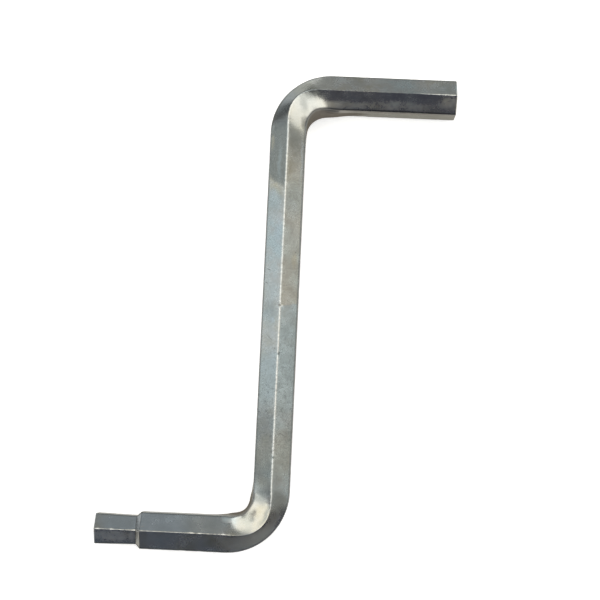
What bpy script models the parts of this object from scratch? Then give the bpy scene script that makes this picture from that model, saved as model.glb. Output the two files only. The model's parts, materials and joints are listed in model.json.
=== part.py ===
"""Z-shaped hex key: one hexagon steel bar, bent twice, with one end cut down to a smaller hexagon.

The key lies flat, with its shank and both arms in one level plane and a ridge of the hexagon
uppermost.  The shank runs along +Y.  The plain arm leaves its far end towards +X and the stepped
arm leaves its near end towards -X.  The origin is under the middle of the whole outline, on the
surface that the key lies on.  All sizes are in metres.
"""
import math
from collections import namedtuple

import bmesh
import bpy
from mathutils import Vector

COLLECTION_NAME = "z_hex_key"
BAR_NAME = "hex_bar"

# The bar and the outline of the Z
ACROSS_FLATS = 0.012         # hexagon of the bar, and of its plain end
CORNER_RADIUS = 0.0006       # rounding along the six long corners
SHANK_LENGTH = 0.1489        # axis of one arm to axis of the other
PLAIN_REACH = 0.0564         # axis of the shank to the plain end
STUB_REACH = 0.0571          # axis of the shank to the tip of the stepped end
BEND_RADIUS = 0.01425        # axis of the bar, in both bends
END_ROUNDING = 0.0004        # worn edge round both end faces

# The stepped end: a smaller hexagon, a little waisted behind its tip, and the shoulder behind it
STUB_ACROSS_FLATS = 0.00995
STUB_WAIST_ACROSS_FLATS = 0.00935
STUB_LENGTH = 0.0137
SHOULDER_LENGTH = 0.0014

# What bending does to the hexagon, measured half way round a bend
RIDGE_DRIFT = 0.0020         # both ridges are drawn towards the outside of the bend
RIDGE_DROP = 0.0005          # and sink towards the axis
INNER_EDGE_DRIFT = 0.0008    # both edges of the inner flat are drawn outwards too
INNER_EDGE_LIFT = 0.0024     # and are pushed apart by the squeezed metal between them
INNER_FACE_DISH = 0.0004     # the faces from a ridge to an inner edge sink between the two
OUTER_EDGE_DROP = 0.0004     # the stretched outer flat gets narrower at each edge
EDGE_RUN_OUT = math.radians(9)    # the rises die out this far past each end of the bend

# How the inner flat swells out between its edges.  The lower bend swells near both its ends, and the
# upper one slowly, up to where its arm begins.  Angles are counted from the start of the bend.
LOWER_SWELL = 0.0010         # how far the flat stands out near both ends of the lower bend
LOWER_SAG = 0.0003           # and how much less half way round
UPPER_SWELL = 0.0014         # how far it stands out at its most in the upper bend
SWELL_RUN = math.radians(18)            # the flat starts to swell this far before either bend
UPPER_SWELL_FULL = math.radians(70)     # where the swelling of the upper bend is full
UPPER_SWELL_GOING = math.radians(86)    # where it starts to go again
UPPER_SWELL_GONE = math.radians(126)    # and where it is gone, past the end of the bend

# How finely the surface is faceted
CORNER_STEPS = 4             # facets in each rounded corner
FLAT_STEPS = 4               # strips across each flat
BEND_STEPS = 20              # rings in each quarter turn
RUN_OUT_STEPS = 8            # further rings, where a bend dies out in the straight bar
END_STEPS = 3                # rings in each worn end edge
SMOOTH_ANGLE = math.radians(32)

# Finish: bright zinc plating, dulled by use
PLATING_COLOUR = (0.50, 0.52, 0.53, 1.0)
PLATING_ROUGHNESS = 0.32
PLATING_METALLIC = 1.0

SIXTH_TURN = math.pi / 3
QUARTER_TURN = math.pi / 2
BEND_STEP_ANGLE = QUARTER_TURN / BEND_STEPS
FILLET_SETBACK = math.sqrt(2) - 1    # a right-angled fillet clears its corner by this times its radius

CORNER_CENTRE = (ACROSS_FLATS / 2 - CORNER_RADIUS) / math.cos(SIXTH_TURN / 2)
AXIS_HEIGHT = CORNER_CENTRE + CORNER_RADIUS
SHANK_X = (STUB_REACH - PLAIN_REACH) / 2

# The six corners in order, as a bend sees them: upper ridge, upper inner edge, lower inner edge,
# lower ridge, lower outer edge, upper outer edge.  Each has its drift outwards and its rise.
CORNER_DRIFT = (RIDGE_DRIFT, INNER_EDGE_DRIFT, INNER_EDGE_DRIFT, RIDGE_DRIFT, 0.0, 0.0)
CORNER_RISE = (-RIDGE_DROP, INNER_EDGE_LIFT, -INNER_EDGE_LIFT,
               RIDGE_DROP, OUTER_EDGE_DROP, -OUTER_EDGE_DROP)
# The six flats in order, each starting at the corner of the same number, with the rise of its middle
FLAT_RISE = (-INNER_FACE_DISH, 0.0, INNER_FACE_DISH, 0.0, 0.0, 0.0)
INNER_FLAT = 1

# One point round the bar: its place (inward, up), its drift and rise half way round a bend, and its
# share of the swelling of the inner flat
SectionPoint = namedtuple("SectionPoint", "place drift rise swell")

Swelling = namedtuple("Swelling", "depth sag full going gone")
LOWER_SWELLING = Swelling(LOWER_SWELL, LOWER_SAG, SWELL_RUN,
                          QUARTER_TURN - SWELL_RUN, QUARTER_TURN + SWELL_RUN)
UPPER_SWELLING = Swelling(UPPER_SWELL, 0.0, UPPER_SWELL_FULL, UPPER_SWELL_GOING, UPPER_SWELL_GONE)


def clear_scene():
    for old_object in list(bpy.data.objects):
        bpy.data.objects.remove(old_object, do_unlink=True)


def part_collection():
    collection = bpy.data.collections.new(COLLECTION_NAME)
    bpy.context.scene.collection.children.link(collection)
    return collection


def plating_material():
    material = bpy.data.materials.new("zinc_plated_steel")
    material.use_nodes = True
    shader = material.node_tree.nodes["Principled BSDF"]
    shader.inputs["Base Color"].default_value = PLATING_COLOUR
    shader.inputs["Roughness"].default_value = PLATING_ROUGHNESS
    shader.inputs["Metallic"].default_value = PLATING_METALLIC
    return material


def mix(start, end, share):
    return start + (end - start) * share


def direction(turn):
    """The way a point of the section faces: 0 is up, a quarter turn is the inside of the bend."""
    return Vector((math.sin(turn), math.cos(turn)))


def smooth_step(value, start, full):
    share = min(max((value - start) / (full - start), 0.0), 1.0)
    return share * share * (3 - 2 * share)


def hexagon_section():
    """The points round the bar, counted from the upper ridge towards the inside of a bend."""
    section = []
    for corner in range(6):
        following = (corner + 1) % 6
        middle = corner * SIXTH_TURN
        for step in range(CORNER_STEPS + 1):
            turn = middle + SIXTH_TURN * (step / CORNER_STEPS - 0.5)
            place = direction(middle) * CORNER_CENTRE + direction(turn) * CORNER_RADIUS
            section.append(SectionPoint(place, CORNER_DRIFT[corner], CORNER_RISE[corner], 0.0))
        flat_faces = direction(middle + SIXTH_TURN / 2) * CORNER_RADIUS
        flat_start = direction(middle) * CORNER_CENTRE + flat_faces
        flat_end = direction(middle + SIXTH_TURN) * CORNER_CENTRE + flat_faces
        for step in range(1, FLAT_STEPS):
            share = step / FLAT_STEPS
            hump = 4 * share * (1 - share)
            drift = mix(CORNER_DRIFT[corner], CORNER_DRIFT[following], share)
            rise = mix(CORNER_RISE[corner], CORNER_RISE[following], share) + FLAT_RISE[corner] * hump
            swell = 1 - (2 * share - 1) ** 4 if corner == INNER_FLAT else 0.0
            section.append(SectionPoint(flat_start.lerp(flat_end, share), drift, rise, swell))
    return section


def mirrored(section):
    """The same points counted the other way round from the upper ridge, for a bend to the right."""
    count = len(section)
    return [section[(CORNER_STEPS - index) % count] for index in range(count)]


def left_of(heading):
    return Vector((-heading.y, heading.x, 0))


def straight_ring(section, centre, heading, across_flats):
    """The hexagon square across a straight run, at its own size."""
    scale = across_flats / ACROSS_FLATS
    left = left_of(heading) * scale
    up = Vector((0, 0, scale))
    return [centre + left * point.place.x + up * point.place.y for point in section]


def end_rings(section, face_centre, heading, outward, across_flats):
    """The worn edge of an end, from the full hexagon out to the end face."""
    rings = []
    for step in range(END_STEPS + 1):
        turn = QUARTER_TURN * step / END_STEPS
        depth = END_ROUNDING * (1 - math.sin(turn))
        inset = END_ROUNDING * (1 - math.cos(turn))
        centre = face_centre - outward * depth
        rings.append(straight_ring(section, centre, heading, across_flats - 2 * inset))
    return rings


def upset_share(angle):
    """How much of their rise the lines of a bend have: all half way round, none past its run-outs."""
    reach = QUARTER_TURN / 2 + EDGE_RUN_OUT
    distance = min(abs(angle - QUARTER_TURN / 2) / reach, 1.0)
    return math.cos(distance * QUARTER_TURN) ** 2


def swell_depth(angle, swelling):
    """How far the inner flat has swollen, at an angle after the start of a bend."""
    rising = smooth_step(angle, -SWELL_RUN, swelling.full)
    going = smooth_step(angle, swelling.gone, swelling.going)
    inside = min(angle - swelling.full, swelling.going - angle)
    sag = swelling.sag * smooth_step(inside, 0.0, (swelling.going - swelling.full) / 2)
    return swelling.depth * rising * going - sag


def line_radius(inward, drift, angle):
    """How far from the centre of a bend a long line of the bar passes, at an angle after the start.

    The line rounds the corner on a fillet of its own.  With no drift that is a circle about the
    centre of the bend.  A line that drifts outwards stays straight for longer, and then turns on a
    smaller fillet whose centre is set back towards the corner.
    """
    plain = BEND_RADIUS - inward
    setback = drift / FILLET_SETBACK
    fillet = plain - setback
    from_straight = min(angle, QUARTER_TURN - angle)
    if from_straight < math.atan2(setback, plain):
        return plain / math.cos(from_straight)
    lean = math.sin(angle) + math.cos(angle)
    return setback * lean + math.sqrt(fillet ** 2 - setback ** 2 * (2 - lean ** 2))


def bend_ring(section, centre, heading, inward, swelling, angle):
    """One ring of a quarter bend about centre, at an angle after its start.

    The bar comes in along heading and turns towards inward.  Angles below zero or past the
    quarter turn lie on the straight run-outs.
    """
    turned = min(max(angle, 0.0), QUARTER_TURN)
    run_out = (angle - turned) * BEND_RADIUS
    way = heading * math.cos(turned) + inward * math.sin(turned)
    outward = heading * math.sin(turned) - inward * math.cos(turned)
    depth = swell_depth(angle, swelling)
    ring = []
    for point in section:
        radius = line_radius(point.place.x, point.drift, turned) - point.swell * depth
        height = point.place.y + point.rise * upset_share(angle)
        ring.append(centre + way * run_out + outward * radius + Vector((0, 0, height)))
    return ring


def bend_rings(section, corner, heading, inward, swelling):
    """All rings of the bend at the corner where two straight axes meet."""
    centre = corner + (inward - heading) * BEND_RADIUS
    steps = range(-RUN_OUT_STEPS, BEND_STEPS + RUN_OUT_STEPS + 1)
    return [bend_ring(section, centre, heading, inward, swelling, step * BEND_STEP_ANGLE) for step in steps]


def bar_rings():
    """Every ring of the bar in order, from the tip of the stepped end to the plain end."""
    along_arms = Vector((1, 0, 0))
    along_shank = Vector((0, 1, 0))
    lower_corner = Vector((SHANK_X, -SHANK_LENGTH / 2, AXIS_HEIGHT))
    upper_corner = Vector((SHANK_X, SHANK_LENGTH / 2, AXIS_HEIGHT))
    stub_tip = lower_corner - along_arms * STUB_REACH
    waist = stub_tip + along_arms * STUB_LENGTH
    shoulder = waist + along_arms * SHOULDER_LENGTH
    plain_end = upper_corner + along_arms * PLAIN_REACH
    section = hexagon_section()

    tip_rings = end_rings(section, stub_tip, along_arms, -along_arms, STUB_ACROSS_FLATS)
    rings = tip_rings[::-1]
    rings.append(straight_ring(section, waist, along_arms, STUB_WAIST_ACROSS_FLATS))
    rings.append(straight_ring(section, shoulder, along_arms, ACROSS_FLATS))
    rings += bend_rings(section, lower_corner, along_arms, along_shank, LOWER_SWELLING)
    rings += bend_rings(mirrored(section), upper_corner, along_shank, along_arms, UPPER_SWELLING)
    rings += end_rings(section, plain_end, along_arms, along_arms, ACROSS_FLATS)
    return rings


def loft(name, rings):
    """A closed skin over the rings, with a flat face on the first and the last."""
    shape = bmesh.new()
    loops = [[shape.verts.new(point) for point in ring] for ring in rings]
    for near, far in zip(loops, loops[1:]):
        for index in range(len(near)):
            before = index - 1
            shape.faces.new((near[before], near[index], far[index], far[before]))
    shape.faces.new(loops[0])
    shape.faces.new(loops[-1])
    bmesh.ops.recalc_face_normals(shape, faces=shape.faces)
    mesh = bpy.data.meshes.new(name)
    shape.to_mesh(mesh)
    shape.free()
    mesh.shade_smooth()
    mesh.set_sharp_from_angle(angle=SMOOTH_ANGLE)
    return mesh


def build_key():
    clear_scene()
    collection = part_collection()
    mesh = loft(BAR_NAME, bar_rings())
    mesh.materials.append(plating_material())
    bar = bpy.data.objects.new(BAR_NAME, mesh)
    collection.objects.link(bar)


build_key()
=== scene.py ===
"""Looks of the z-shaped hex key: a bent hexagon bar in worn zinc plating, on a pale studio floor.

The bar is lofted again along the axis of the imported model, finely enough to carry its worn ridge,
nicks and wavy flats as real shape.  Lengths are in metres, apart from the places and sizes of nicks,
stains and patterns, which are in millimetres.
"""
import json
import math
from collections import namedtuple

import bpy
import numpy as np
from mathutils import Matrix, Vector, noise


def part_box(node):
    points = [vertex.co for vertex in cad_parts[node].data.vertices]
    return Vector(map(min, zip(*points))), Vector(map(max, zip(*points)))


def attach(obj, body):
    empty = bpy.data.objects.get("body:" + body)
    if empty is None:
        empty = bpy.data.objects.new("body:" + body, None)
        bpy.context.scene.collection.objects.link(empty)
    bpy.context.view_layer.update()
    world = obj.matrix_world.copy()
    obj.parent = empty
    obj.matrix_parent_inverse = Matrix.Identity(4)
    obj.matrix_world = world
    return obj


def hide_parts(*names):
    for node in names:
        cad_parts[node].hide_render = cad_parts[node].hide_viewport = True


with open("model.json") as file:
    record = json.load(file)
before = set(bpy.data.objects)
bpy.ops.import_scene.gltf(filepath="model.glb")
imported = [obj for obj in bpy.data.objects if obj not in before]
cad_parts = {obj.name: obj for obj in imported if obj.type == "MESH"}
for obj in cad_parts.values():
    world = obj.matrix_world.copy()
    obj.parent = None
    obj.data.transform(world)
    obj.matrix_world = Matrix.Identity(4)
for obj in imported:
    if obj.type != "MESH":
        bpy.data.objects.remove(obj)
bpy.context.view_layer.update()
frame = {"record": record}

bl_info = {
    "name": "Z-shaped Hex Key",
    "version": (1, 0, 0),
    "blender": (4, 5, 0),
    "location": "View3D > Sidebar > Hex Key",
    "description": "Builds a worn, zinc-plated z-shaped hex key and the stage it is shown on",
    "category": "Object",
}

CAD_NODE = "hex_bar"
BODY = "root"
PIECE_NAME = "plated_bar"
PLACE_ATTRIBUTE = "bar_place"  # each point's place along and round the bar, and its wear

MILLIMETRE = 0.001
NO_LIMIT = 1e6  # a radius so large that what it divides doesn't count
SIXTH_TURN = math.pi / 3
QUARTER_TURN = math.pi / 2
FILLET_SETBACK = math.sqrt(2) - 1  # a right-angled fillet clears its corner by this times its radius

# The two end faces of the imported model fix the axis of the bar
MOUNT_PLACES = {mount["name"]: Vector(mount["pos_m"]) for mount in frame["record"]["mounts"]}
PLAIN_END = MOUNT_PLACES["plain_drive_face"]
STUB_TIP = MOUNT_PLACES["stub_drive_face"]
BAR_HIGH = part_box(CAD_NODE)[1]

# How finely the bar is lofted
RING_SPACING = 0.00033
CORNER_STEPS = 8
FLAT_STEPS = 8
END_STEPS = 5
SMOOTH_ANGLE = math.radians(35)
EASE_RINGS = 5  # what a bend does to the bar is smoothed over about so many rings
EDGE_RUN_OUT = math.radians(9)  # how far past each end of a bend its edges are raised
SWELL_START = math.radians(-18)  # the inner flat starts to swell this far after the start of a bend
# Where the swelling of each bend is full, where it starts to go and where it is gone
LOWER_SWELL_TURNS = tuple(map(math.radians, (18, 72, 108)))
UPPER_SWELL_TURNS = tuple(map(math.radians, (70, 86, 126)))
SHARP_STRETCH = (0.3, 0.7)  # the upper ridge is sharp between these shares of the lower bend
PLAIN_END_WEAR = 0.014  # and worn rounder and rounder over this much of the plain end
WAVE_LENGTH = 0.008  # the flats wander in and out over about this length


def linear(hex_value):
    """An sRGB hex colour as the linear colour, with alpha, that nodes and lamps take."""
    channels = [int(hex_value[start:start + 2], 16) / 255 for start in (1, 3, 5)]
    curve = [c / 12.92 if c <= 0.04045 else ((c + 0.055) / 1.055) ** 2.4 for c in channels]
    return (*curve, 1.0)


# A length, a share and a colour that can be set in the sidebar
def length(name, description, metres):
    return bpy.props.FloatProperty(name=name, description=description, default=metres,
                                   unit="LENGTH", precision=5)


def share(name, description, value, highest=1.0):
    return bpy.props.FloatProperty(name=name, description=description, default=value,
                                   min=0.0, max=highest, subtype="FACTOR")


def colour(name, description, hex_value):
    return bpy.props.FloatVectorProperty(name=name, description=description, size=4, min=0.0, max=1.0,
                                         default=linear(hex_value), subtype="COLOR")


class HexKeySizes(bpy.types.PropertyGroup):
    """Sizes of the bar, of its bends and of its wear"""

    across_flats: length("Across flats", "Hexagon of the bar, flat to flat",
                         2 * (BAR_HIGH.y - PLAIN_END.y))
    shank_offset: length("Shank offset", "Axis of the shank, right of the middle of the outline", 0.00035)
    bend_radius: length("Bend radius", "Axis of the bar in both bends", 0.01425)
    corner_radius: length("Corner radius", "Rounding of the hexagon's long corners", 0.0006)
    end_rounding: length("End rounding", "Worn edge round both end faces", 0.00055)
    stub_across_flats: length("Stub across flats", "Smaller hexagon, at its tip", 0.00995)
    stub_waist: length("Stub waist", "Smaller hexagon across flats, at the shoulder", 0.00935)
    stub_length: length("Stub length", "Tip to the foot of the shoulder", 0.0137)
    shoulder_length: length("Shoulder length", "Slope from the stub to the full bar", 0.0014)
    ridge_drift: length("Ridge drift", "Ridges drawn to the outside, half way round a bend", 0.002)
    upper_ridge_drift: length("Upper ridge drift", "How much further out they go in the upper bend", 0.00035)
    ridge_drop: length("Ridge drop", "Ridges sunk towards the axis, half way round a bend", 0.0005)
    inner_edge_drift: length("Inner edge drift", "Inner edges drawn to the outside of a bend", 0.0008)
    inner_edge_lift: length("Inner edge lift", "Inner edges pushed apart by the squeezed metal", 0.0024)
    lower_swell: length("Lower swell", "Inner flat swollen near both ends of the lower bend", 0.001)
    lower_sag: length("Lower sag", "How much less it is swollen half way round", 0.0003)
    upper_swell: length("Upper swell", "Inner flat swollen where the upper bend runs into its arm", 0.0014)
    inner_face_dish: length("Inner face dish", "Faces beside the inner flat sunk between their edges", 0.0004)
    outer_edge_drop: length("Outer edge drop", "Outer flat narrowed at each edge of a bend", 0.0004)
    ridge_stepped_arm: length("Ridge, stepped arm", "Rounding of the upper ridge on the stepped arm", 0.00018)
    ridge_shank: length("Ridge, shank", "Rounding of the upper ridge on the shank", 0.00028)
    ridge_plain_arm: length("Ridge, plain arm", "Rounding of the upper ridge on the plain arm", 0.00006)
    ridge_plain_end: length("Ridge, plain end", "Rounding of the upper ridge at the plain end", 0.0005)
    nick_depth: length("Nick depth", "Deepest of the small nicks along the corners", 0.00009)
    waviness: length("Waviness", "How far the rolled flats wander in and out", 0.000012)


class HexKeyFinish(bpy.types.PropertyGroup):
    """Colours and gloss of the plating"""

    zinc: colour("Zinc", "Clean plating", "#bfc1c0")
    straw: colour("Straw bloom", "Yellowish passivation film", "#beb9a8")
    sea: colour("Sea bloom", "Greenish blue passivation film", "#b0bdc1")
    blue: colour("Blue bloom", "Bluish passivation film", "#bcc6cf")
    # slate_stain_and_shade is partly handling stains and partly painted shade: its patches in the bends and
    # at the upper end of the shank dim and shape the reflections there
    slate_stain_and_shade: colour("Slate stain", "Dark handling stain", "#848886")
    # bare_metal_and_highlight is worn bare metal on the ridges and in scratches, and a painted highlight
    # where a patch of it brightens the outer face of the upper bend
    bare_metal_and_highlight: colour("Bare ridge", "Bright metal where the ridge is worn", "#cdcfcd")
    # grime_and_shade is dirt in scratches and nicks, and painted shade where its band darkens the step of the
    # stub
    grime_and_shade: colour("Grime", "Brownish dirt in scratches and in the step", "#3c3930")
    # Painted shade: this tint darkens the inner flats in the crooks of the bends and a line along an edge of
    # the plain arm
    dust: colour("Dust", "Brown dust in the crooks of the bends", "#76716a")
    # Painted shade: a darker tint on the side flats, which dims what they reflect
    painted_side_shade: colour("Olive film", "Dull film on the side flats", "#a09f99")
    # Painted shade: this darkens the rounding of the side edges into a thin dark outline
    edge: colour("Edge dirt", "Dirt on the rounding of the side edges", "#7d858c")
    glance: colour("Glancing tint", "How much less the dull film reflects at a glancing angle", "#a9a7a3")
    roughness: share("Roughness", "Roughness of the clean plating", 0.23)
    matt: share("Matt", "Roughness of the dust in the crooks", 0.55)
    haze: share("Haze", "Roughness of rubbed and fingered plating", 0.46)


class HexKeyStage(bpy.types.PropertyGroup):
    """Floor and light of the stage"""

    floor: colour("Floor", "Matt pale floor", "#f4f4f4")
    overhead: colour("Overhead", "Tint of the light overhead", "#fffcf4")
    left_side: colour("Left side", "Tint of the light from the left", "#f5fcfc")
    right_side: colour("Right side", "Tint of the light from the right", "#fffcf2")
    low_room: colour("Low room", "The dim room on the camera's side, low down", "#5b6069")
    near_room: colour("Near room", "The dim room on the camera's side, higher up", "#464858")
    middle_room: colour("Middle room", "The dim room level with the key", "#6f7171")
    far_room: colour("Far room", "The dim room past the key", "#9d9f9d")
    overhead_level: share("Overhead level", "Brightness of the light overhead", 1.3, 4.0)
    left_level: share("Left level", "Brightness of the light from the left", 0.6, 4.0)
    right_level: share("Right level", "Brightness of the light from the right", 0.38, 4.0)
    floor_glow: share("Floor glow", "What lifts the floor to white for the eye and in reflections", 0.6)


# Nicks that can be told apart on the ridge: millimetres along the bar and round it from the upper
# ridge, positive to the left of the way along, then half length, half width and depth.  Dirty ones
# break the bright line of the ridge
Nick = namedtuple("Nick", "along around half_length half_width depth dirty", defaults=(False,))
PLACED_NICKS = (
    Nick(163.5, -0.4, 0.8, 0.35, 0.06),
    Nick(126.3, 0.2, 0.5, 0.4, 0.06, True),
    Nick(110.4, -0.4, 0.9, 0.4, 0.09, True),
    Nick(76.4, -0.2, 0.6, 0.35, 0.07, True),
    Nick(31.9, 0.3, 0.6, 0.3, 0.06),
    Nick(42.0, 0.3, 0.6, 0.3, 0.06),
)
# Small nicks scattered along every corner, in millimetres
NICKS_PER_CORNER = 70
NICK_SEED = 7
NICK_END_GAP = 0.5  # how far they keep from both ends
NICK_SCATTER = 0.18  # how far they stray from the corner
NICK_HALF_LENGTHS = (0.15, 0.9)
NICK_HALF_WIDTHS = (0.12, 0.3)
NICK_DEPTHS = (0.1, 1.0)  # as shares of the deepest, squared so that most are shallow
# Short worn spots of the ridge: millimetres along the bar, half length and extra rounding
WORN_SPOTS = ((1.4, 0.5, 0.45), (5.9, 0.5, 0.45), (13.1, 0.6, 0.5), (31.9, 0.7, 0.55), (34.5, 0.5, 0.35),
              (42.2, 0.7, 0.55), (44.0, 0.4, 0.35))
RIDGE_BEAD = 0.0007  # the worn ridge gets wider and narrower over this length
RIDGE_BEADING = 1.5  # by up to this share of its rounding
SHARPEST_BEAD = 0.25  # and is never sharper than this share of it
END_FACE_AROUND = -3.5  # the end faces are finished like this line round the bar
# How far use has rubbed the ridges bright on each stretch, and the lengths it comes and goes over
USE_STEPPED_ARM = 0.5
USE_SHANK_START = 0.8
USE_SHANK_END = 0.5
USE_PLAIN_END = 0.6
USE_FADE = 0.005
USE_RISE = 0.006
USE_FROM_END = (0.016, 0.006)  # it starts and is full this far from the plain end

# Stains and scuffs of the plating, with patches of painted shade and highlight among them, placed in the same
# way, each with a turn in degrees, how much of its radius its edge fades over, its colour and how strongly it
# covers.  One with a face of 1 or -1 keeps to the left or the right of the ridges, and one that only dulls
# the plating has no colour
Stain = namedtuple("Stain", "along around half_length half_width turn fade colour cover face", defaults=(0,))


def stains(*rows):
    return tuple(Stain(*row) for row in rows)


STAINS = stains(
    # the shank, left of its ridge: its slate patches are partly handling stains and partly painted shade,
    # darkest at the upper end
    (177.5, -2.5, 12.5, 14.0, -31, 0.18, "slate_stain_and_shade", 0.9, 1),
    (175.0, 2.8, 9.0, 1.4, 0, 0.9, "sea", 0.3),
    (182.0, 6.2, 4.0, 1.2, 0, 0.8, "straw", 0.5),
    (186.5, 5.0, 0.9, 0.5, 30, 0.7, "slate_stain_and_shade", 0.8),
    (162.0, 3.8, 7.0, 6.0, 0, 0.9, "slate_stain_and_shade", 0.36, 1),
    (166.2, 3.7, 2.8, 1.7, 30, 0.7, "straw", 0.6),
    (152.0, 1.9, 10.5, 1.9, 0, 0.9, "blue", 0.3),
    (123.0, 3.8, 6.0, 5.0, 0, 0.8, "sea", 0.6, 1),
    (125.0, 3.8, 4.6, 5.0, 0, 0.8, "slate_stain_and_shade", 0.32, 1),
    (121.5, 3.0, 1.8, 1.6, 0, 0.8, "blue", 0.4),
    (102.0, 4.0, 14.0, 8.0, 0, 0.6, "sea", 0.7, 1),
    (80.0, 3.6, 17.0, 9.0, 0, 0.5, "slate_stain_and_shade", 0.53, 1),
    (77.0, 3.6, 9.0, 8.0, 0, 0.8, "straw", 0.3, 1),
    (68.0, 3.5, 4.0, 6.0, 0, 0.9, "straw", 0.35, 1),
    (117.0, 3.8, 5.0, 5.0, 0, 0.8, "blue", 0.4, 1),
    (131.0, 3.8, 6.0, 5.0, 0, 0.8, "sea", 0.4, 1),
    (161.5, 4.4, 6.0, 5.0, 0, 0.8, "sea", 0.7, 1),
    # the shank, right of its ridge: its slate patches are partly handling stains and partly painted shade,
    # darkest at the upper end
    (184.0, -3.4, 15.0, 9.0, 0, 1.0, "slate_stain_and_shade", 0.76, -1),
    (105.5, -3.6, 20.5, 9.0, 0, 0.4, "sea", 0.8, -1),
    (77.0, -3.6, 17.0, 12.0, 0, 0.6, "slate_stain_and_shade", 0.38, -1),
    (78.0, -3.6, 12.0, 9.0, 0, 0.8, "straw", 0.35, -1),
    (163.0, -3.5, 10.0, 8.0, 0, 0.8, "sea", 0.5, -1),
    (149.0, -3.5, 8.0, 8.0, 0, 0.8, "bare_metal_and_highlight", 0.22, -1),
    (176.0, -6.0, 12.0, 0.9, 0, 0.9, "blue", 0.5),
    (142.0, -4.9, 4.0, 1.7, 0, 0.8, "straw", 0.6),
    (121.0, -3.6, 5.8, 18.0, 10, 0.12, "sea", 0.6, -1),
    # the bends: slate and edge patches here are painted shade on the lamps' reflections, and the bare patch a
    # painted highlight
    (195.8, 3.4, 8.0, 7.0, 0, 0.5, "slate_stain_and_shade", 0.85, 1),
    (196.5, -3.8, 10.0, 6.0, 0, 0.7, "zinc", 0.6, -1),
    (196.0, -4.0, 9.0, 5.0, 0, 0.8, "slate_stain_and_shade", 0.14, -1),
    (196.6, -3.3, 4.2, 2.1, 45, 0.9, "slate_stain_and_shade", 0.55, -1),
    (201.5, -1.0, 5.0, 3.6, 0, 0.95, "slate_stain_and_shade", 0.85, -1),
    (203.0, 3.2, 8.0, 7.0, 0, 0.8, "straw", 0.45, 1),
    (205.2, 3.2, 3.8, 7.0, 0, 0.6, "bare_metal_and_highlight", 0.45, 1),
    (199.2, 3.4, 4.0, 7.0, 0, 0.5, "slate_stain_and_shade", 0.55, 1),
    (192.0, 3.4, 7.0, 7.0, 0, 0.7, "edge", 0.5, 1),
    (54.0, 3.2, 9.0, 6.0, 0, 0.5, "straw", 0.5, 1),
    (54.0, 3.2, 11.0, 7.0, 0, 0.5, "slate_stain_and_shade", 0.13, 1),
    (53.6, 3.7, 1.9, 1.5, 0, 0.9, "slate_stain_and_shade", 0.6),
    (63.0, 4.0, 4.8, 4.0, 0, 0.9, "slate_stain_and_shade", 0.85, 1),
    (57.5, 0.7, 5.5, 1.5, 0, 0.9, "slate_stain_and_shade", 0.7, 1),
    (48.5, 0.9, 5.0, 2.2, 0, 0.9, "slate_stain_and_shade", 0.5, 1),
    (62.5, -2.5, 5.5, 7.0, 0, 0.8, "slate_stain_and_shade", 0.85, -1),
    (51.0, -3.4, 14.0, 7.0, 0, 0.8, "straw", 0.5, -1),
    (53.8, -3.4, 5.0, 7.0, 0, 0.9, "slate_stain_and_shade", 0.42, -1),
    # the plain arm
    (216.5, 3.0, 6.0, 6.0, 0, 0.9, "slate_stain_and_shade", 0.2, 1),
    (246.0, 3.0, 6.0, 6.0, 0, 0.8, "sea", 0.4, 1),
    # the stepped arm
    (22.0, 3.5, 24.0, 9.0, 0, 0.3, "blue", 0.9, 1),
    (36.0, 3.5, 10.0, 7.0, 0, 0.8, "straw", 0.3, 1),
    (5.0, 3.5, 9.0, 9.0, 0, 0.3, "slate_stain_and_shade", 0.15, 1),
    (37.0, 1.3, 9.0, 1.1, 0, 0.8, "bare_metal_and_highlight", 0.3),
)
SCRATCHES = stains(
    # painted shade in the step and along an edge of the plain arm, and dirt in nicks of the ridge
    (14.4, 0.0, 1.0, 200.0, 0, 0.3, "grime_and_shade", 0.56),
    (229.0, -6.9, 30.0, 0.6, 0, 0.5, "dust", 0.75),
    (126.3, 0.1, 0.6, 0.6, 0, 0.7, "grime_and_shade", 0.6),
    (110.4, -0.4, 0.9, 0.6, 0, 0.7, "grime_and_shade", 0.6),
    (76.4, -0.2, 0.6, 0.5, 0, 0.7, "grime_and_shade", 0.5),
    # scratches and specks
    (134.0, 5.8, 0.8, 0.15, 60, 0.6, "grime_and_shade", 0.7),
    (138.4, 5.1, 1.4, 0.14, 70, 0.6, "grime_and_shade", 0.6),
    (115.7, 3.6, 2.7, 0.12, 50, 0.6, "grime_and_shade", 0.45),
    (91.5, 3.5, 0.8, 0.17, 45, 0.6, "grime_and_shade", 0.6),
    (84.0, -3.0, 2.6, 0.14, 70, 0.6, "grime_and_shade", 0.5),
    (143.0, -0.9, 0.3, 0.25, 0, 0.7, "grime_and_shade", 0.6),
    (137.0, -1.0, 0.25, 0.25, 0, 0.7, "grime_and_shade", 0.6),
    (133.2, -2.3, 0.35, 0.2, 20, 0.7, "grime_and_shade", 0.6),
    (144.5, -5.2, 0.25, 0.4, 0, 0.7, "grime_and_shade", 0.5),
    (112.0, 1.1, 0.3, 0.25, 0, 0.7, "grime_and_shade", 0.6),
    (228.3, -3.4, 0.9, 0.12, -50, 0.6, "bare_metal_and_highlight", 0.9),
    (236.6, -6.1, 0.6, 0.12, -50, 0.6, "bare_metal_and_highlight", 0.9),
    (16.0, 1.6, 0.8, 0.25, 20, 0.6, "bare_metal_and_highlight", 0.8),
)
# Matt patches on the inner flats, in the crooks of the bends, darkened with painted shade
SHADED_MATT_CROOKS = stains(
    (200.0, -10.4, 24.0, 4.2, 0, 0.3, "dust", 1.0),
    (54.0, 10.4, 18.0, 4.2, 0, 0.3, "dust", 1.0),
)
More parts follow.
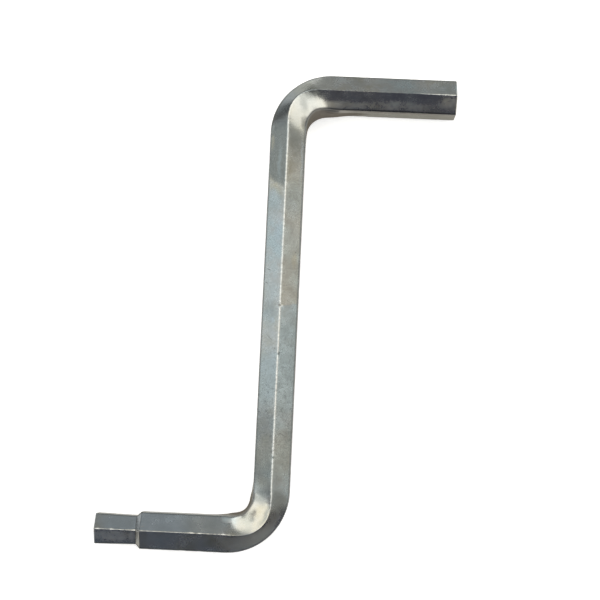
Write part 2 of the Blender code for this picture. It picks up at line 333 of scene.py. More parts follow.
# Cloudy, fingered places
HAZES = stains(
    (216.0, -5.2, 15.0, 2.3, 0, 0.9, "", 1.0),
    (231.0, -4.7, 14.0, 2.6, 0, 0.9, "", 0.9),
    (247.5, -2.6, 5.0, 3.6, 0, 0.8, "", 1.0),
    (6.0, -3.2, 8.0, 4.0, 0, 0.6, "", 1.0),
)
# Evenly rubbed places, on the stub and in the bends
RUBBED = stains(
    (12.4, -3.0, 1.4, 4.0, 0, 0.8, "", 0.6),
    (49.5, -3.2, 13.5, 5.5, 0, 0.7, "", 0.5),
    (43.5, 5.8, 3.0, 1.8, 0, 0.8, "", 1.0),
    (190.7, -6.2, 4.5, 1.6, 0, 0.6, "", 1.0),
    (208.5, -5.3, 5.5, 2.0, 0, 0.8, "", 1.0),
)
MOTTLED = Stain(125.0, 0.0, 68.0, 60.0, 0, 0.2, "", 1.0)  # grain and clouds are clearest here
CREPT = Stain(96.0, -2.0, 34.0, 11.0, 0, 0.6, "", 1.0)  # and winding lines show here
MOTTLED_ELSEWHERE = 0.3  # how clear grain and clouds are elsewhere
TIDE_LINE = 126.3  # where the plating bath stood, on the right of the shank
TIDE_LEAN = 0.17  # how much further along it stood for each millimetre to the right
TIDE_BLUR = 0.2  # half the width of the line
TIDE_STRENGTH = 0.42
WOBBLE = 1.2  # how far the outlines of stains wander
RIDGE_MARGIN = 0.3  # what keeps to one face fades in over this much beside the ridge
RIDGE_BLEED = 0.1  # and straw past the tide line starts this far across it
# The painted shade on the side flats, a darker tint that dims what they reflect, comes in between these
# places, measured from the flats' edges
SIDE_SHADE_EDGE = (-0.4, 0.05)
# Painted shade on the edges and rubbing fade between these distances from an edge and from a ridge
EDGE_SHADE_FADE = (0.1, 0.5)
EDGE_SHADE_STRENGTH = 0.4
RIDGE_RUB_FADE = (0.15, 0.5)
# Sizes of the patterns.  The crystals of real plating are far too small to see, so its grain is
# drawn about half a millimetre wide
BLOOM_SIZE = 16.0
CLOUD_SIZE = 4.0
WANDER_SIZE = 2.5
CREEP_SIZE = 2.2
SMUDGE_SIZE = 1.1
GRAIN_SIZE = 0.6
NOISE_RANGE = (0.3, 0.7)  # nearly all of a noise lies between these
NOISE_MIDDLE = 0.5
BLOOM_STOPS = (0.34, 0.5, 0.66)  # where the bloom is straw, clean and blue
GRAIN_SHADES = (0.9, 1.08)
CLOUD_SHADES = (0.89, 1.09)
CREEP_SHADE = 0.72
CREEP_WIDTH = 0.013  # how near its middle the noise counts as a line
CLOUD_GLOSS = (-0.05, 0.07)  # how much glossier and duller the clouds make the plating
SMUDGE_RANGE = (0.34, 0.58)  # a smudge starts and is full at these values of its pattern
BUMP_STRENGTH = 0.04
BUMP_HEIGHT = 0.02

# Studio, as seen from the key: distance of the lamps and half the angle that each fills
LAMP_DISTANCE = 4.0
OVERHEAD_SPREAD = (math.radians(48), math.radians(28))
OVERHEAD_TURN = math.radians(9)  # the overhead lamp hangs a little past the key
SIDE_HEIGHT = math.radians(30)  # how high the side lamps stand
LEFT_SPREAD = (math.radians(11), math.radians(16))
LEFT_TURN = math.radians(11)  # the side lamps stand a little past the key too
RIGHT_SPREAD = (math.radians(18), math.radians(16))
RIGHT_TURN = math.radians(2)
AREA_LAMP_WATTS = 4.0  # watts that give a lamp of one square metre a brightness of one
FLOOR_SIZE = 60.0
# Where the dim room has its tints, from 0 on the camera's side to 1 past the key
ROOM_STOPS = (0.06, 0.17, 0.45, 0.65, 0.93)
# The dark back of the camera shows in the bends as a small dark spot
CAMERA_BACK = (0.08, 0.13)
CAMERA_BACK_GAP = 0.01

CAMERA_PLACE = (0.013023, -0.04995, 0.44115)
CAMERA_TURN = tuple(map(math.radians, (7.077, 0.5, 2.59)))
CAMERA_LENS = 78.376  # millimetres, on the usual 36 mm wide sensor


def way(sixths):
    """Unit vectors out of the section, counted in sixth turns from straight up to the left."""
    turn = np.asarray(sixths) * SIXTH_TURN
    return np.stack((np.sin(turn), np.cos(turn)), axis=-1)


class Section:
    """The rounded hexagon, point by point from the upper ridge round to the left.

    Every array has one entry for each point.  Mirrored gives the point across the middle, which
    a bend to the right treats as a bend to the left treats this one.
    """

    def __init__(self, sizes):
        rows = []
        for corner in range(6):
            for step in range(CORNER_STEPS + 1):
                rows.append((corner, corner + step / CORNER_STEPS - 0.5, 0.0))
            for step in range(1, FLAT_STEPS):
                rows.append((corner, corner + 0.5, step / FLAT_STEPS))
        corner, facing, part = np.array(rows).T
        self.count = len(rows)
        self.corner = corner.astype(int)
        self.following = (self.corner + 1) % 6
        self.mirrored = (CORNER_STEPS - np.arange(self.count)) % self.count

        outline = 1 / math.cos(SIXTH_TURN / 2)
        own, further = (1 - part)[:, None], part[:, None]
        self.sharp = (own * way(corner) + further * way(corner + 1)) * outline
        self.own_pull = own * (way(facing) - way(corner) * outline)
        self.next_pull = further * (way(facing) - way(corner + 1) * outline)

        # What half way round a bend to the left does to upper ridge, upper inner edge, lower
        # inner edge, lower ridge, lower outer edge and upper outer edge
        drift = np.array((sizes.ridge_drift, sizes.inner_edge_drift, sizes.inner_edge_drift,
                          sizes.ridge_drift, 0.0, 0.0))
        rise = np.array((-sizes.ridge_drop, sizes.inner_edge_lift, -sizes.inner_edge_lift,
                         sizes.ridge_drop, sizes.outer_edge_drop, -sizes.outer_edge_drop))
        dish = np.array((-sizes.inner_face_dish, 0.0, sizes.inner_face_dish, 0.0, 0.0, 0.0))
        swollen = np.array((0, 1, 0, 0, 0, 0))
        hump = 4 * part * (1 - part)
        upper_drift = drift + sizes.upper_ridge_drift * np.array((1, 0, 0, 1, 0, 0))
        self.lower_drift, self.upper_drift, self.rise = (
            corners[self.corner] * (1 - part) + corners[self.following] * part
            for corners in (drift, upper_drift, rise))
        self.rise += dish[self.corner] * hump
        self.swell = swollen[self.corner] * (1 - (2 * part - 1) ** 4)

    def places(self, half_flats, radii):
        """Left and up of each point, for rings of these half widths and six corner radii."""
        return (half_flats[:, None, None] * self.sharp
                + radii[:, self.corner, None] * self.own_pull
                + radii[:, self.following, None] * self.next_pull)

    def around(self, half_flats):
        """Distance of each point round the bar from the upper ridge, positive to the left."""
        turn = np.arctan2(self.sharp[:, 0], self.sharp[:, 1])
        sixths = np.abs(turn) / SIXTH_TURN
        whole = np.floor(sixths)
        side = 2 * half_flats * math.tan(SIXTH_TURN / 2)
        within = half_flats * np.tan((sixths - whole - 0.5) * SIXTH_TURN)
        return np.sign(turn) * ((whole + 0.5) * side + within)


class Bar:
    """The axis of the bar as distances along it from the tip of the stub."""

    def __init__(self, sizes):
        radius = sizes.bend_radius
        self.radius = radius
        self.first_bend = sizes.shank_offset - STUB_TIP.x - radius
        self.shank_start = self.first_bend + QUARTER_TURN * radius
        self.second_bend = self.shank_start + PLAIN_END.y - STUB_TIP.y - 2 * radius
        self.arm_start = self.second_bend + QUARTER_TURN * radius
        self.end = self.arm_start + PLAIN_END.x - sizes.shank_offset - radius

    def turned(self, along, start):
        return np.clip((along - start) / self.radius, 0.0, QUARTER_TURN)

    def frame(self, along):
        """Axis points and the unit vectors to the left of them."""
        first = self.turned(along, self.first_bend)
        second = self.turned(along, self.second_bend)
        ahead = (np.minimum(along, self.first_bend) + self.radius * (np.sin(first) + 1 - np.cos(second))
                 + np.maximum(along - self.arm_start, 0.0))
        sideways = (self.radius * (1 - np.cos(first) + np.sin(second))
                    + np.clip(along, self.shank_start, self.second_bend) - self.shank_start)
        axis = np.stack((STUB_TIP.x + ahead, STUB_TIP.y + sideways, np.full_like(along, STUB_TIP.z)), axis=-1)
        heading = first - second
        left = np.stack((-np.sin(heading), np.cos(heading), np.zeros_like(along)), axis=-1)
        return axis, left


def ring_places(bar, sizes):
    """Where rings stand along the bar: close together all the way, and at every change of form."""
    shoulder_top = sizes.stub_length + sizes.shoulder_length
    marks = (sizes.end_rounding, sizes.stub_length, shoulder_top, bar.first_bend, bar.shank_start,
             bar.second_bend, bar.arm_start, bar.end - sizes.end_rounding)
    runs = [np.linspace(near, far, math.ceil((far - near) / RING_SPACING) + 1)
            for near, far in zip(marks, marks[1:])]
    depth = sizes.end_rounding * (1 - np.cos(np.linspace(0, QUARTER_TURN, END_STEPS + 1)))
    return np.unique(np.concatenate((depth, *runs, bar.end - depth)).round(9))


def half_widths(along, bar, sizes):
    """Half the width across flats along the bar, down to the worn edges of both ends."""
    shoulder_top = sizes.stub_length + sizes.shoulder_length
    half = np.interp(along, (0, sizes.stub_length, shoulder_top, bar.end),
                     (sizes.stub_across_flats / 2, sizes.stub_waist / 2,
                      sizes.across_flats / 2, sizes.across_flats / 2))
    short = np.clip(sizes.end_rounding - np.minimum(along, bar.end - along), 0.0, sizes.end_rounding)
    return half - sizes.end_rounding + np.sqrt(sizes.end_rounding ** 2 - short ** 2)


def corner_radii(along, bar, sizes):
    """Rounding of the six corners along the bar: the upper ridge is worn more in some places."""
    radii = np.full((len(along), 6), sizes.corner_radius)
    sharp_stretch = bar.first_bend + (bar.shank_start - bar.first_bend) * np.array(SHARP_STRETCH)
    ridge = np.interp(along, (bar.first_bend, *sharp_stretch, bar.shank_start, bar.second_bend,
                              bar.arm_start, bar.end - PLAIN_END_WEAR, bar.end),
                      (sizes.ridge_stepped_arm, sizes.ridge_plain_arm, sizes.ridge_plain_arm,
                       sizes.ridge_shank, sizes.ridge_shank,
                       sizes.ridge_plain_arm, sizes.ridge_plain_arm, sizes.ridge_plain_end))
    beads = np.array([noise.noise((0.0, 0.0, place / RIDGE_BEAD)) for place in along])
    radii[:, 0] = ridge * np.maximum(1 + RIDGE_BEADING * beads, SHARPEST_BEAD)
    for middle, half, extra in WORN_SPOTS:
        radii[:, 0] += extra * MILLIMETRE * np.exp(-((along / MILLIMETRE - middle) / half) ** 2)
    return radii


def bent(inward, drift, turned, radius):
    """How far inside the axis a long line of the bar lies, some way round a bend.

    Each line rounds the corner on a fillet of its own.  One that drifts outwards stays straight
    for longer, and then turns on a smaller fillet that is set back towards the corner.
    """
    plain = radius - inward
    setback = drift / FILLET_SETBACK
    from_straight = np.minimum(turned, QUARTER_TURN - turned)
    lean = np.sin(turned) + np.cos(turned)
    on_fillet = setback * lean + np.sqrt((plain - setback) ** 2 - setback ** 2 * (2 - lean ** 2))
    on_straight = plain / np.cos(from_straight)
    reach = np.where(from_straight < np.arctan2(setback, plain), on_straight, on_fillet)
    return radius - reach


def upset_share(angle):
    """How much of their rise the lines of a bend have: all half way round, none past its run-outs."""
    reach = QUARTER_TURN / 2 + EDGE_RUN_OUT
    distance = np.minimum(np.abs(angle - QUARTER_TURN / 2) / reach, 1.0)
    return np.cos(distance * QUARTER_TURN) ** 2


def smooth_step(value, start, full):
    part = np.clip((value - start) / (full - start), 0.0, 1.0)
    return part * part * (3 - 2 * part)


def swell_depth(angle, depth, sag, turns):
    """How far the inner flat has swollen, at an angle after the start of a bend."""
    full, going, gone = turns
    swell = depth * smooth_step(angle, SWELL_START, full) * smooth_step(angle, gone, going)
    inside = np.minimum(angle - full, going - angle)
    return swell - sag * smooth_step(inside, 0.0, (going - full) / 2)


def eased(change):
    """A change of form smoothed along the bar, so that no line of a bend turns abruptly."""
    reach = 3 * EASE_RINGS
    weights = np.exp(-0.5 * (np.arange(-reach, reach + 1) / EASE_RINGS) ** 2)
    padded = np.pad(change, ((reach, reach), (0, 0)), mode="edge")
    rows = len(change)
    return sum(weight * padded[start:start + rows] for start, weight in enumerate(weights / weights.sum()))


def bar_surface(sizes):
    """Points of the bar as rings by points, with each point's place along and round the bar."""
    bar = Bar(sizes)
    section = Section(sizes)
    along = ring_places(bar, sizes)
    places = section.places(half_widths(along, bar, sizes), corner_radii(along, bar, sizes))
    straight_left, straight_up = places[..., 0], places[..., 1]
    left, up = straight_left, straight_up
    bends = ((bar.first_bend, 1, np.arange(section.count), section.lower_drift,
              (sizes.lower_swell, sizes.lower_sag, LOWER_SWELL_TURNS)),
             (bar.second_bend, -1, section.mirrored, section.upper_drift,
              (sizes.upper_swell, 0.0, UPPER_SWELL_TURNS)))
    for start, side, order, drift, swelling in bends:
        turned = bar.turned(along, start)[:, None]
        angle = ((along - start) / bar.radius)[:, None]
        swell = section.swell[order] * swell_depth(angle, *swelling)
        left = side * (bent(side * left, drift[order], turned, bar.radius) + swell)
        up = up + section.rise[order] * upset_share(angle)
    left = straight_left + eased(left - straight_left)
    up = straight_up + eased(up - straight_up)
    axis, left_way = bar.frame(along)
    points = axis[:, None] + left[..., None] * left_way[:, None] + up[..., None] * np.array((0, 0, 1))
    return points, along, section.around(sizes.across_flats / 2)


def outward_ways(points):
    """Unit vectors out of the surface, one for each point."""
    forward = np.gradient(points, axis=0)
    round_bar = np.roll(points, -1, axis=1) - np.roll(points, 1, axis=1)
    outward = np.cross(forward, round_bar)
    return outward / np.linalg.norm(outward, axis=-1, keepdims=True)


def all_nicks(sizes, end, side):
    """The placed nicks, and small ones scattered along all six corners."""
    chance = np.random.default_rng(NICK_SEED)
    deepest = sizes.nick_depth / MILLIMETRE
    nicks = list(PLACED_NICKS)
    for corner in range(-2, 4):
        for _count in range(NICKS_PER_CORNER):
            nicks.append(Nick(chance.uniform(NICK_END_GAP, end - NICK_END_GAP),
                              corner * side + chance.normal(0, NICK_SCATTER),
                              chance.uniform(*NICK_HALF_LENGTHS), chance.uniform(*NICK_HALF_WIDTHS),
                              deepest * chance.uniform(*NICK_DEPTHS) ** 2))
    return nicks


def worn(points, along, around, sizes):
    """The points with nicks pressed into the corners and a slight waviness in the flats."""
    along_mm = along[:, None] / MILLIMETRE
    around_mm = around[None, :] / MILLIMETRE
    girth = 6 * sizes.across_flats * math.tan(SIXTH_TURN / 2) / MILLIMETRE
    depth = np.zeros(points.shape[:2])
    for nick in all_nicks(sizes, along[-1] / MILLIMETRE, girth / 6):
        gap = np.abs(around_mm - nick.around)
        gap = np.minimum(gap, girth - gap)
        reach = ((along_mm - nick.along) / nick.half_length) ** 2 + (gap / nick.half_width) ** 2
        depth += nick.depth * MILLIMETRE * np.exp(-reach)
    swing = [noise.noise(Vector(point) / WAVE_LENGTH) for point in points.reshape(-1, 3)]
    lift = sizes.waviness * np.array(swing).reshape(depth.shape) - depth
    return points + outward_ways(points) * lift[..., None]


def ridge_use(along, bar):
    """How far use has rubbed the ridges bright, along the bar."""
    starts, full = (bar.end - distance for distance in USE_FROM_END)
    stretches = ((bar.first_bend, USE_STEPPED_ARM), (bar.first_bend + USE_FADE, 0.0),
                 (bar.shank_start - USE_RISE, 0.0), (bar.shank_start, USE_SHANK_START),
                 (bar.second_bend, USE_SHANK_END), (bar.arm_start, 0.0),
                 (starts, 0.0), (full, USE_PLAIN_END))
    use = np.interp(along, *zip(*stretches))
    for nick in PLACED_NICKS:
        if nick.dirty:
            use *= 1 - np.exp(-((along / MILLIMETRE - nick.along) / nick.half_length) ** 4)
    return use


def loft(name, points):
    """A closed skin over rings of points, with a flat face on the first and the last."""
    rings, count = points.shape[:2]
    here = np.arange(rings * count).reshape(rings, count)
    back = np.roll(here, 1, axis=1)
    quads = np.stack((back[:-1], back[1:], here[1:], here[:-1]), axis=-1).reshape(-1, 4)
    faces = quads.tolist() + [here[0].tolist(), here[-1][::-1].tolist()]
    mesh = bpy.data.meshes.new(name)
    mesh.from_pydata(points.reshape(-1, 3).tolist(), [], faces)
    mesh.shade_smooth()
    mesh.set_sharp_from_angle(angle=SMOOTH_ANGLE)
    return mesh


def mark_places(mesh, along, around, use):
    """Keep each point's place on the bar, and its wear, where the material can read them.

    They are kept by face corner, so that the two end faces can have one place all over.
    """
    marks = np.stack(np.broadcast_arrays(along[:, None], around[None, :], use[:, None]), axis=-1)
    corners = np.empty(len(mesh.loops), int)
    mesh.loops.foreach_get("vertex_index", corners)
    marks = marks.reshape(-1, 3)[corners]
    for face, place in zip(mesh.polygons[-2:], (along[0], along[-1])):
        marks[face.loop_start:face.loop_start + face.loop_total] = (place, END_FACE_AROUND, 0.0)
    attribute = mesh.attributes.new(PLACE_ATTRIBUTE, "FLOAT_VECTOR", "CORNER")
    attribute.data.foreach_set("vector", marks.astype(np.float32).ravel())


def add_node(tree, kind, inputs=None, **settings):
    """A new node with its settings, and with its inputs set or linked, by name or number.

    A node that is given as an input stands for its first output.
    """
    node = tree.nodes.new(kind)
    for name, value in settings.items():
        setattr(node, name, value)
    for key, value in (inputs or {}).items():
        if isinstance(value, bpy.types.Node):
            value = value.outputs[0]
        if isinstance(value, bpy.types.NodeSocket):
            tree.links.new(value, node.inputs[key])
        else:
            node.inputs[key].default_value = value
    return node


def new_material(name):
    """A new material, with its node tree and its shader."""
    material = bpy.data.materials.new(name)
    material.use_nodes = True
    return material, material.node_tree, material.node_tree.nodes["Principled BSDF"]


def fill_ramp(ramp, stops):
    """Give a new colour ramp its stops, each a position and a colour, from first to last."""
    first, *middle, last = stops
    for element, (position, tint) in zip(ramp.elements, (first, last)):
        element.position = position
        element.color = tint
    for position, tint in middle:
        ramp.elements.new(position).color = tint


# What a finish goes by, in millimetres: the place on the unrolled bar, the same place wandered, the
# place in space, and then singly the distance round the bar, the wear of the ridge, as a share, and
# the distance from the nearest ridge
Skin = namedtuple("Skin", "tree place wandered space around use from_ridge")


def bar_places(tree, side):
    """The places that the finish of the bar goes by, for a hexagon with sides of this length."""
    place = add_node(tree, "ShaderNodeAttribute", attribute_name=PLACE_ATTRIBUTE).outputs["Vector"]
    parts = add_node(tree, "ShaderNodeSeparateXYZ", {0: place})
    metres = add_node(tree, "ShaderNodeTexCoord")
    space = add_node(tree, "ShaderNodeVectorMath", {
        0: metres.outputs["Object"], "Scale": 1 / MILLIMETRE}, operation="SCALE")
    wander = add_node(tree, "ShaderNodeTexNoise", {"Vector": space, "Scale": 1 / WANDER_SIZE, "Detail": 3.0})
    swing = add_node(tree, "ShaderNodeVectorMath", {
        0: wander.outputs["Color"], 1: (NOISE_MIDDLE,) * 3}, operation="SUBTRACT")
    wandered = add_node(tree, "ShaderNodeVectorMath", {
        0: swing, 1: (2 * WOBBLE, 2 * WOBBLE, 0.0), 2: place}, operation="MULTIPLY_ADD")
    flat_middle = 1.5 * side
    from_ridge = add_node(tree, "ShaderNodeMath", {
        0: parts.outputs["Y"], 1: flat_middle}, operation="PINGPONG")
    return Skin(tree, place, wandered, space, parts.outputs["Y"], parts.outputs["Z"], from_ridge)


def stain_cover(skin, place, stain):
    """How strongly a stain covers each point: an ellipse on the unrolled bar with a faded edge."""
    moved = add_node(skin.tree, "ShaderNodeMapping", {
        "Vector": place, "Location": (stain.along, stain.around, 0.0),
        "Rotation": (0.0, 0.0, math.radians(stain.turn)),
        "Scale": (stain.half_length, stain.half_width, NO_LIMIT)}, vector_type="TEXTURE")
    ellipse = add_node(skin.tree, "ShaderNodeTexGradient", {"Vector": moved}, gradient_type="SPHERICAL")
    faded = add_node(skin.tree, "ShaderNodeMapRange", {
        "Value": ellipse.outputs["Fac"], "From Max": stain.fade, "To Max": stain.cover},
        interpolation_type="SMOOTHSTEP")
    if stain.face == 0:
        return faded
    return add_node(skin.tree, "ShaderNodeMapRange", {
        "Value": skin.around, "From Max": RIDGE_MARGIN * stain.face, "To Max": faded})


def passivation_bloom(skin, finish):
    """Colour of the passivation film, which blooms from straw to blue in broad patches."""
    bloom = add_node(skin.tree, "ShaderNodeTexNoise", {
        "Vector": skin.space, "Scale": 1 / BLOOM_SIZE, "Detail": 6.0, "Roughness": 0.65})
    film = add_node(skin.tree, "ShaderNodeValToRGB", {0: bloom})
    fill_ramp(film.color_ramp, zip(BLOOM_STOPS, (finish.straw, finish.zinc, finish.sea)))
    return film.outputs["Color"]


def tide_cover(skin):
    """How strongly straw covers the right of the shank, past the line where the plating bath stood."""
    on_right = add_node(skin.tree, "ShaderNodeMapRange", {
        "Value": skin.around, "From Min": RIDGE_BLEED, "From Max": -RIDGE_MARGIN, "To Max": TIDE_STRENGTH})
    leaned = add_node(skin.tree, "ShaderNodeVectorMath", {
        0: skin.place, 1: (1.0, TIDE_LEAN, 0.0)}, operation="DOT_PRODUCT")
    past = add_node(skin.tree, "ShaderNodeMapRange", {
        "Value": leaned.outputs["Value"],
        "From Min": TIDE_LINE - TIDE_BLUR, "From Max": TIDE_LINE + TIDE_BLUR})
    return add_node(skin.tree, "ShaderNodeMath", {0: on_right, 1: past}, operation="MULTIPLY")


def side_covers(skin, side):
    """How strongly a darker tint of painted shade covers the side flats, and a dark one the rounding of their
    edges.

    The painted shade on the edges shows from above as a thin dark outline.
    """
    film = add_node(skin.tree, "ShaderNodeMapRange", {
        "Value": skin.from_ridge, "From Min": side + SIDE_SHADE_EDGE[0], "From Max": side + SIDE_SHADE_EDGE[1]},
        interpolation_type="SMOOTHSTEP")
    past_edge = add_node(skin.tree, "ShaderNodeMath", {0: skin.from_ridge, 1: side}, operation="SUBTRACT")
    from_edge = add_node(skin.tree, "ShaderNodeMath", {0: past_edge}, operation="ABSOLUTE")
    dirt = add_node(skin.tree, "ShaderNodeMapRange", {
        "Value": from_edge, "From Min": EDGE_SHADE_FADE[1], "From Max": EDGE_SHADE_FADE[0],
        "To Max": EDGE_SHADE_STRENGTH}, interpolation_type="SMOOTHSTEP")
    return film, dirt


def plating_shade(skin, grain, clouds):
    """Grain, clouds and fine winding lines where the film has crept, as a factor on the colour."""
    creep = add_node(skin.tree, "ShaderNodeTexNoise", {
        "Vector": skin.space, "Scale": 1 / CREEP_SIZE, "Detail": 2.0, "Roughness": 0.6})
    line = add_node(skin.tree, "ShaderNodeMath", {
        0: creep, 1: NOISE_MIDDLE, 2: CREEP_WIDTH}, operation="COMPARE")
    crept = add_node(skin.tree, "ShaderNodeMath", {
        0: line, 1: stain_cover(skin, skin.place, CREPT)}, operation="MULTIPLY")
    shade = add_node(skin.tree, "ShaderNodeMapRange", {
        "Value": crept, "To Min": 1.0, "To Max": CREEP_SHADE})
    for pattern, (darkest, lightest) in ((grain, GRAIN_SHADES), (clouds, CLOUD_SHADES)):
        layer = add_node(skin.tree, "ShaderNodeMapRange", {
            "Value": pattern, "From Min": NOISE_RANGE[0], "From Max": NOISE_RANGE[1],
            "To Min": darkest, "To Max": lightest})
        shade = add_node(skin.tree, "ShaderNodeMath", {0: shade, 1: layer}, operation="MULTIPLY")
    strength = add_node(skin.tree, "ShaderNodeMapRange", {
        "Value": stain_cover(skin, skin.place, MOTTLED), "To Min": MOTTLED_ELSEWHERE})
    return add_node(skin.tree, "ShaderNodeMix", {0: strength, 2: 1.0, 3: shade})


def plating_gloss(skin, finish, clouds):
    """Roughness of the plating: cloudy all over, and duller in fingered, rubbed and dusty places."""
    gloss = add_node(skin.tree, "ShaderNodeMapRange", {
        "Value": clouds, "From Min": NOISE_RANGE[0], "From Max": NOISE_RANGE[1],
        "To Min": finish.roughness + CLOUD_GLOSS[0], "To Max": finish.roughness + CLOUD_GLOSS[1]})
    smudges = add_node(skin.tree, "ShaderNodeTexNoise", {
        "Vector": skin.space, "Scale": 1 / SMUDGE_SIZE, "Detail": 5.0, "Roughness": 0.75})
    patches = add_node(skin.tree, "ShaderNodeMapRange", {
        "Value": smudges, "From Min": SMUDGE_RANGE[0], "From Max": SMUDGE_RANGE[1]})
    layers = []
    for haze in HAZES:
        cover = add_node(skin.tree, "ShaderNodeMath", {
            0: stain_cover(skin, skin.wandered, haze), 1: patches}, operation="MULTIPLY")
        layers.append((cover, finish.haze))
    layers += [(stain_cover(skin, skin.place, mark), finish.haze) for mark in RUBBED]
    layers += [(stain_cover(skin, skin.place, crook), finish.matt) for crook in SHADED_MATT_CROOKS]
    for cover, dull in layers:
        gloss = add_node(skin.tree, "ShaderNodeMix", {0: cover, 2: gloss, 3: dull})
    return gloss


def zinc_plated_steel(finish, sizes):
    """Electroplated zinc on drawn steel, passivated and handled.

    The plating is a satin grey metal.  The passivation film gives it a faint bloom from straw to
    blue, handling leaves cloudy duller patches, and the corners are rubbed to a bright line.
    """
    material, tree, shader = new_material("zinc_plated_drawn_steel")
    shader.inputs["Metallic"].default_value = 1.0
    shader.inputs["Specular Tint"].default_value = finish.glance

    side = sizes.across_flats * math.tan(SIXTH_TURN / 2) / MILLIMETRE
    skin = bar_places(tree, side)
    grain = add_node(tree, "ShaderNodeTexNoise", {
        "Vector": skin.space, "Scale": 1 / GRAIN_SIZE, "Detail": 2.0})
    clouds = add_node(tree, "ShaderNodeTexNoise", {
        "Vector": skin.space, "Scale": 1 / CLOUD_SIZE, "Detail": 4.0, "Roughness": 0.55})

    # Each layer covers the ones before it.  The side flats' tint, the edge tint and several patches are
    # painted shade and highlight
    layers = [(tide_cover(skin), finish.straw)]
    layers += [(stain_cover(skin, skin.wandered, stain), getattr(finish, stain.colour)) for stain in STAINS]
    layers += zip(side_covers(skin, side), (finish.painted_side_shade, finish.edge))
    layers += [(stain_cover(skin, skin.place, mark), getattr(finish, mark.colour))
               for mark in SCRATCHES + SHADED_MATT_CROOKS]
    colour_now = passivation_bloom(skin, finish)
    for cover, tint in layers:
        colour_now = add_node(tree, "ShaderNodeMix", {
            0: cover, 6: colour_now, 7: tint}, data_type="RGBA").outputs[2]
    colour_now = add_node(tree, "ShaderNodeVectorMath", {
        0: colour_now, "Scale": plating_shade(skin, grain, clouds)}, operation="SCALE")
    rubbed = add_node(tree, "ShaderNodeMapRange", {
        "Value": skin.from_ridge, "From Min": RIDGE_RUB_FADE[0], "From Max": RIDGE_RUB_FADE[1],
        "To Min": skin.use, "To Max": 0.0}, interpolation_type="SMOOTHSTEP")
    colour_now = add_node(tree, "ShaderNodeMix", {
        0: rubbed, 6: colour_now, 7: finish.bare_metal_and_highlight}, data_type="RGBA").outputs[2]
    bump = add_node(tree, "ShaderNodeBump", {
        "Height": grain, "Strength": BUMP_STRENGTH, "Distance": BUMP_HEIGHT * MILLIMETRE})

    tree.links.new(colour_now, shader.inputs["Base Color"])
    tree.links.new(plating_gloss(skin, finish, clouds).outputs[0], shader.inputs["Roughness"])
    tree.links.new(bump.outputs[0], shader.inputs["Normal"])
    return material


class HEXKEY_OT_plated_bar(bpy.types.Operator):
    """Loft the bent hexagon bar with its stepped end and wear, in zinc plating"""

    bl_idname = "hexkey.plated_bar"
    bl_label = "Plated Bar"

    def execute(self, context):
        sizes = context.scene.hexkey_sizes
        points, along, around = bar_surface(sizes)
        points = worn(points, along, around, sizes)
        mesh = loft(PIECE_NAME, points)
        mark_places(mesh, along / MILLIMETRE, around / MILLIMETRE, ridge_use(along, Bar(sizes)))
        mesh.materials.append(zinc_plated_steel(context.scene.hexkey_finish, sizes))
        piece = bpy.data.objects.new(PIECE_NAME, mesh)
        context.scene.collection.objects.link(piece)
        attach(piece, BODY)
        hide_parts(CAD_NODE)
        return {"FINISHED"}


def floor_material(stage):
    """Matt paint: an even pale surface with no gloss, which shows only the soft shadow of the key."""
    material, tree, shader = new_material("matt_painted_board")
    shader.inputs["Base Color"].default_value = stage.floor
    shader.inputs["Roughness"].default_value = 0.9
    shader.inputs["Specular IOR Level"].default_value = 0.0
    rays = add_node(tree, "ShaderNodeLightPath")
    seen = rays.outputs["Is Camera Ray"]
    for name in ("Is Glossy Ray", "Is Transmission Ray"):
        seen = add_node(tree, "ShaderNodeMath", {0: seen, 1: rays.outputs[name]})
    glow = add_node(tree, "ShaderNodeMath", {0: seen, 1: stage.floor_glow}, operation="MULTIPLY")
    shader.inputs["Emission Color"].default_value = linear("#ffffff")
    tree.links.new(glow.outputs[0], shader.inputs["Emission Strength"])
    return material


def camera_back_material():
    """Moulded black plastic: dark and dull, so that it shows in the metal as a soft dark spot."""
    material, _tree, shader = new_material("black_moulded_plastic")
    shader.inputs["Base Color"].default_value = linear("#303030")
    shader.inputs["Roughness"].default_value = 0.6
    return material


def add_lamp(name, direction, spread, tint, level):
    """A soft lamp in a direction, facing the key and filling the spread, at a level where one is white."""
    lamp = bpy.data.lights.new(name, "AREA")
    lamp.shape = "RECTANGLE"
    lamp.size = 2 * LAMP_DISTANCE * math.tan(spread[0])
    lamp.size_y = 2 * LAMP_DISTANCE * math.tan(spread[1])
    lamp.color = tint[:3]
    lamp.energy = level * lamp.size * lamp.size_y * AREA_LAMP_WATTS
    holder = bpy.data.objects.new(name, lamp)
    holder.location = LAMP_DISTANCE * Vector(direction)
    holder.rotation_euler = Vector(direction).to_track_quat("Z", "Y").to_euler()
    holder.visible_camera = False
    bpy.context.scene.collection.objects.link(holder)


def dim_room(stage):
    """The world: a dim room, darker and bluer on the camera's side of the key than past it."""
    world = bpy.data.worlds.new("dim_room")
    world.use_nodes = True
    tree = world.node_tree
    sight = add_node(tree, "ShaderNodeTexCoord")
    parts = add_node(tree, "ShaderNodeSeparateXYZ", {0: sight.outputs["Generated"]})
    depth = add_node(tree, "ShaderNodeMapRange", {"Value": parts.outputs["Y"], "From Min": -1.0})
    walls = add_node(tree, "ShaderNodeValToRGB", {0: depth})
    tints = (stage.low_room, stage.near_room, stage.middle_room, stage.middle_room, stage.far_room)
    fill_ramp(walls.color_ramp, zip(ROOM_STOPS, tints))
    tree.links.new(walls.outputs["Color"], tree.nodes["Background"].inputs["Color"])
    bpy.context.scene.world = world


def lay_floor(stage):
    bpy.ops.mesh.primitive_plane_add(size=FLOOR_SIZE)
    floor = bpy.context.object
    floor.name = "pale_floor"
    floor.data.materials.append(floor_material(stage))


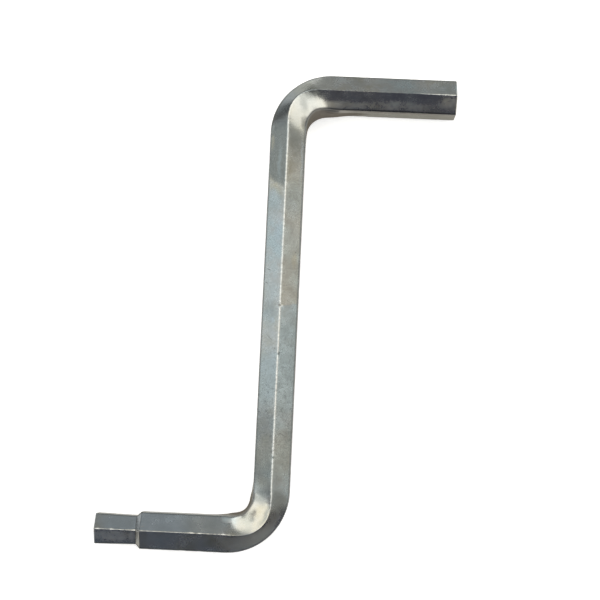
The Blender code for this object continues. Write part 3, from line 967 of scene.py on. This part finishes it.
def set_lamps(stage):
    """One lamp overhead, and one on each side of the key."""
    overhead = (0.0, math.sin(OVERHEAD_TURN), math.cos(OVERHEAD_TURN))
    add_lamp("overhead_lamp", overhead, OVERHEAD_SPREAD, stage.overhead, stage.overhead_level)
    side_lamps = (("left_lamp", -1, LEFT_TURN, LEFT_SPREAD, stage.left_side, stage.left_level),
                  ("right_lamp", 1, RIGHT_TURN, RIGHT_SPREAD, stage.right_side, stage.right_level))
    for name, side, turn, spread, tint, level in side_lamps:
        flat = math.cos(SIDE_HEIGHT)
        direction = (side * flat * math.cos(turn), flat * math.sin(turn), math.sin(SIDE_HEIGHT))
        add_lamp(name, direction, spread, tint, level)


def place_camera_back():
    """The dark back of the camera, which shows only in reflections."""
    bpy.ops.mesh.primitive_plane_add(size=1.0, location=CAMERA_PLACE, rotation=CAMERA_TURN)
    back = bpy.context.object
    back.name = "camera_back"
    back.scale = (*CAMERA_BACK, 1.0)
    back.location.z += CAMERA_BACK_GAP
    back.data.materials.append(camera_back_material())
    for kind in ("camera", "diffuse", "shadow", "transmission", "volume_scatter"):
        setattr(back, "visible_" + kind, False)


def place_camera(scene):
    lens = bpy.data.cameras.new("camera")
    lens.lens = CAMERA_LENS
    camera = bpy.data.objects.new("camera", lens)
    camera.location = CAMERA_PLACE
    camera.rotation_euler = CAMERA_TURN
    scene.collection.objects.link(camera)
    scene.camera = camera
    scene.view_settings.view_transform = "Standard"


class HEXKEY_OT_stage(bpy.types.Operator):
    """Lay the pale floor, set the soft lamps and the dim room, and place the camera"""

    bl_idname = "hexkey.stage"
    bl_label = "Stage"

    def execute(self, context):
        stage = context.scene.hexkey_stage
        lay_floor(stage)
        dim_room(stage)
        set_lamps(stage)
        place_camera_back()
        place_camera(context.scene)
        return {"FINISHED"}


class HEXKEY_PT_panel(bpy.types.Panel):
    """Lists the pieces of the hex key and their sizes and colours"""

    bl_label = "Hex Key"
    bl_idname = "HEXKEY_PT_panel"
    bl_space_type = "VIEW_3D"
    bl_region_type = "UI"
    bl_category = "Hex Key"

    def draw(self, context):
        layout = self.layout
        for operator in (HEXKEY_OT_plated_bar, HEXKEY_OT_stage):
            layout.operator(operator.bl_idname)
        for name in GROUPS:
            group = getattr(context.scene, name)
            column = layout.column(align=True)
            for setting in group.__annotations__:
                column.prop(group, setting)


CLASSES = (HexKeySizes, HexKeyFinish, HexKeyStage, HEXKEY_OT_plated_bar, HEXKEY_OT_stage, HEXKEY_PT_panel)
GROUPS = {"hexkey_sizes": HexKeySizes, "hexkey_finish": HexKeyFinish, "hexkey_stage": HexKeyStage}


def register():
    for new_class in CLASSES:
        bpy.utils.register_class(new_class)
    for name, group in GROUPS.items():
        setattr(bpy.types.Scene, name, bpy.props.PointerProperty(type=group))


def unregister():
    for name in GROUPS:
        delattr(bpy.types.Scene, name)
    for old_class in reversed(CLASSES):
        bpy.utils.unregister_class(old_class)


def main():
    register()
    bpy.ops.hexkey.plated_bar()
    bpy.ops.hexkey.stage()


if __name__ == "__main__":
    main()
